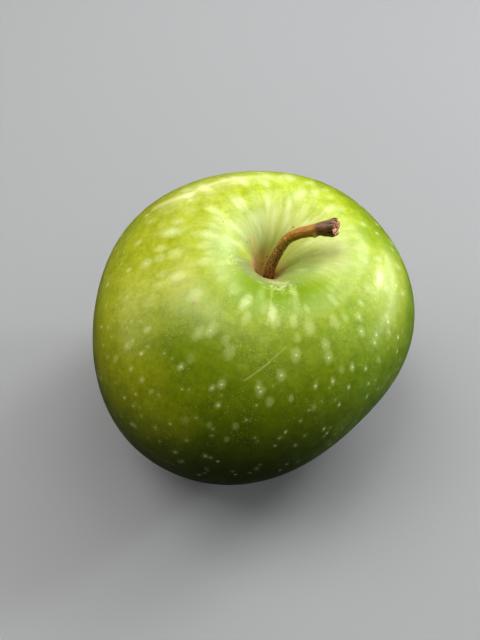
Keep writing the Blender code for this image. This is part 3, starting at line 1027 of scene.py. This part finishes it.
colour = start.mix((way_at + (blotch - 0.5) * 5).above(12, 17), BARK_DARK, BARK_BROWN)
arm = (way_at + (blotch - 0.5) * 2).above(17, 19.5)
colour = start.mix(arm, colour, BARK_OLIVE)
colour = start.mix(arm * upwards.above(0.0, 0.75) * 0.85, colour, BARK_RED)
flare = (way_at + (blotch - 0.5) * 1.5).above(BUD_SCAR - 0.2, BUD_SCAR + 0.9)
colour = start.mix(flare * 0.9, colour, BARK_PURPLE)
# Partly painted sheen: the grey is laid only on the stem's upper side.
bloom_and_sheen = upwards.above(0.45, 1.0) * flare * grain.above(0.35, 0.6)
colour = start.mix(bloom_and_sheen * 0.45, colour, BLOOM_AND_SHEEN_GREY)

# %% Scurf, scars and torn wood
SCURF_TAN = rgb(0.80, 0.58, 0.30)
BUD_CREAM_AND_LIGHT = rgb(0.86, 0.68, 0.42)
FIBRE_PINK = rgb(0.88, 0.50, 0.30)
CRACK_BROWN = rgb(0.07, 0.03, 0.015)
GRAIN_DARK, GRAIN_LIGHT = rgb(0.55, 0.52, 0.5), rgb(1.2, 1.2, 1.2)

scaly = way_at.below(16.0, 19.0)
pitted = start.noise(spot, 0.3, 2.0, 0.6)
colour = start.mix(scaly * pitted.below(0.42, 0.54) * 0.7, colour, CRACK_BROWN)
scurf = start.node("TexVoronoi", None, {"Vector": spot, "Scale": 1 / GRAIN_APART})
scurf = scurf.below(0.14, 0.36) * scaly * start.noise(spot, 0.9, 2.0).above(0.38, 0.6)
colour = start.mix(scurf * 0.8, colour, SCURF_TAN)
off_ring = start.maths("ABSOLUTE", way_at - RING_SCAR + (blotch - 0.5) * 0.5)
colour = start.mix(off_ring.below(0.05, 0.2) * 0.6, colour, SCURF_TAN)
bud_side = round_y * -math.sin(BUD_TURN) + round_z * -math.cos(BUD_TURN)
# The bud scar's cream is paler than its own colour: painted light on the stem's shaded underside.
bud_scar_and_light = start.maths("ABSOLUTE", way_at - BUD_SCAR).below(0.25, 0.6) * bud_side.above(0.84, 0.95)
colour = start.mix(bud_scar_and_light * 0.85, colour, BUD_CREAM_AND_LIGHT)
around_noise = start.noise(around_at, 0.22, 2.0)
cracks = around_noise.below(0.40, 0.47) * way_at.above(26.4, 27.6) * (1 - torn_at)
colour = start.mix(cracks * 0.85, colour, CRACK_BROWN)
fibres = start.noise(spot, 0.42, 4.0, 0.7)
wood = start.mix(fibres.above(0.40, 0.55), CRACK_BROWN, FIBRE_PINK)
colour = start.mix(torn_at, colour, wood)
shade = start.mix(grain.above(0.3, 0.72), GRAIN_DARK, GRAIN_LIGHT)
feed("Base Color", start.tint(0.85, colour, shade))
feed("Roughness", 0.42 + 0.25 * scurf + 0.3 * way_at.below(12, 20) + 0.3 * torn_at)
height = 0.06 * grain + 0.05 * scurf + 0.10 * fibres * torn_at - 0.12 * cracks
feed("Normal", start.bump(height))
stem.data.materials.append(bark)
print("the bark's material has", len(bark.node_tree.nodes), "nodes")

# %% [markdown]
# ## Calyx
# Underneath, in the basin, the dried flower is still there: five small sepals that lie back
# against the basin's wall and a tuft of stamens in a short tube. A sepal is a pointed sheet:
# its middle follows the wall, its width swells and then runs out to a tip, and its edges curl.
# Solidify gives it a thickness.

# %% Sepals
SEPALS, SEPAL_LENGTH, SEPAL_WIDTH, SEPAL_THICKNESS, SEPAL_SEED = 5, 5.0, 3.0, 0.35, 8
TUBE_RADIUS, TUBE_DROP, TUBE_SUNK = 2.3, 1.5, 1.6


def basin_fall(radius):
    """How far the basin's wall has dropped from its lowest point inside, this far out."""
    return BASIN_DEPTH * (1 - bell(radius, BASIN_WIDTH))


def sepal_sheets():
    """All sepals as open sheets: one grid each, along the blade and across it.

    reach = way out from the tube; side = share across x width; drop = tube's end, less the
    basin's wall at that reach, with a cupped root and curled edges."""
    random = np.random.default_rng(SEPAL_SEED)
    s, t = np.meshgrid(np.linspace(0, 1, 15), np.linspace(-1, 1, 9), indexing="ij")
    turn = TAU * np.arange(SEPALS) / SEPALS + 0.12 * (-1.0) ** np.arange(SEPALS)
    curl = random.uniform(0.3, 0.9, SEPALS)[:, None, None]
    width = SEPAL_WIDTH * (1 - s) ** 0.75 * (0.72 + 0.9 * s) / 2 + 0.08
    reach = TUBE_RADIUS * 0.6 + SEPAL_LENGTH * s * (1 - 0.18 * s) + 0 * curl
    side = t * width * (1 - 0.18 * curl * s)
    drop = -TUBE_DROP - basin_fall(reach) - 0.5 * np.sin(math.pi * s)
    drop = drop - 0.35 * (1 - t**2) * (1 - s) + 0.3 * curl * np.abs(t) ** 3 * s
    wave = 0.12 * np.sin(5 * s + turn[:, None, None] * 3) * t
    x = reach * np.cos(turn)[:, None, None] - side * np.sin(turn)[:, None, None]
    y = reach * np.sin(turn)[:, None, None] + side * np.cos(turn)[:, None, None]
    return np.stack([x, y, drop + wave], axis=-1) + basin_roof


def sheets_to_piece(name, sheets, thickness):
    """One mesh from several open grids, each given a thickness by Solidify."""
    pieces, rows, columns = sheets.shape[:3]
    corner = np.arange(rows * columns).reshape(rows, columns)
    quad = [corner[:-1, :-1], corner[1:, :-1], corner[1:, 1:], corner[:-1, 1:]]
    quad = np.stack(quad, axis=-1).reshape(-1, 4)
    faces = (quad + (np.arange(pieces) * rows * columns)[:, None, None]).reshape(-1, 4)
    made = mesh_object(name, sheets / MM_PER_METRE, faces.tolist())
    thick = made.modifiers.new("thickness", "SOLIDIFY")
    thick.thickness = thickness / MM_PER_METRE
    thick.offset = 0
    return made


sepals = sheets_to_piece("sepals", sepal_sheets(), SEPAL_THICKNESS)

# %% [markdown]
# Stamens are thin rods with a swollen end, spread over the tube's mouth by the golden angle, as
# seeds are in a flower head. The tube is one wide rod of the same kind.

# %% Stamens and tube
STAMENS, STAMEN_SEED, GOLDEN_ANGLE = 11, 21, math.radians(137.5)
STAMEN_RADII = np.array([0.2, 0.16, 0.13, 0.12, 0.2, 0.26, 0.18])
TUBE_RADII = np.array([2.0, 2.15, 2.3, 2.38, 2.3, 1.9])


def rods(name, roots, tips, radii, sides=8):
    """Closed round rods from roots to tips: one ring at each of a few steps, then the ends."""
    steps = radii.shape[1]
    share = np.linspace(0, 1, steps)[None, :, None]
    axis = tips - roots
    middle = roots[:, None] + share * axis[:, None]
    flat = np.cross(axis, [0.0, 1.0, 0.3])
    flat /= np.linalg.norm(flat, axis=-1, keepdims=True)
    other = np.cross(axis, flat)
    other /= np.linalg.norm(other, axis=-1, keepdims=True)
    a = np.arange(sides) * TAU / sides
    ring = np.cos(a)[:, None] * flat[:, None] - np.sin(a)[:, None] * other[:, None]
    grid = middle[:, :, None] + radii[:, :, None, None] * ring[:, None]
    count = len(roots)
    quads = ring_faces(steps, sides)
    caps = np.stack([np.arange(sides), (steps - 1) * sides + np.arange(sides)[::-1]])
    offset = np.arange(count) * steps * sides
    faces = (quads + offset[:, None, None]).reshape(-1, 4).tolist()
    faces += (caps[None, 0] + offset[:, None]).tolist() + (caps[None, 1] + offset[:, None]).tolist()
    return mesh_object(name, grid / MM_PER_METRE, faces)


random = np.random.default_rng(STAMEN_SEED)
golden = np.arange(STAMENS) * GOLDEN_ANGLE
lean_out = np.stack([np.cos(golden), np.sin(golden), np.zeros(STAMENS)], axis=-1)
spread = TUBE_RADIUS * 0.7 * np.sqrt((np.arange(STAMENS) + 0.5) / STAMENS)
root = spread[:, None] * lean_out + np.array([0, 0, 0.8 - TUBE_DROP])
long = random.uniform(2.0, 3.0, STAMENS)[:, None]
tip = root + lean_out * random.uniform(-0.3, 0.7, (STAMENS, 1)) - UP * long
radii = np.tile(STAMEN_RADII, (STAMENS, 1))
stamens = rods("stamens", root + basin_roof, tip + basin_roof, radii)
tube_ends = (basin_roof + rise * UP[None] for rise in (TUBE_SUNK, -TUBE_DROP))
calyx_tube = rods("calyx_tube", *tube_ends, TUBE_RADII[None], 40)

# %% [markdown]
# All of it is dry: grey-brown, matt and felted with fine hairs.

# %% Dry calyx
FELT_BROWN = rgb(0.10, 0.065, 0.035)
HAIR_GREY = rgb(0.30, 0.24, 0.16)
STAIN_OLIVE = rgb(0.12, 0.11, 0.05)

felt, start, feed = new_material("dry_calyx")
spot = start.place_in_mm()
fuzz = start.noise(spot, 0.35, 4.0, 0.7)
stain = start.noise(spot, 1.6, 2.0)
colour = start.mix(fuzz.above(0.35, 0.7), FELT_BROWN, HAIR_GREY)
colour = start.mix(stain.above(0.45, 0.65) * 0.6, colour, STAIN_OLIVE)
feed("Base Color", colour)
feed("Roughness", 0.85)
feed("Normal", start.bump(0.12 * fuzz))
for piece in (sepals, stamens, calyx_tube):
    piece.data.materials.append(felt)
    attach(piece, "root")
    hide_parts("calyx")

# %% [markdown]
# ## Size
# The dressed apple has to stay inside the box of its solids; both boxes are printed below.

# %% Size and finish
shown_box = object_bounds()
for label, box in (("solids", solid_box), ("shown", shown_box)):
    print(label, [[round(v * MM_PER_METRE, 2) for v in corner] for corner in box], "mm")
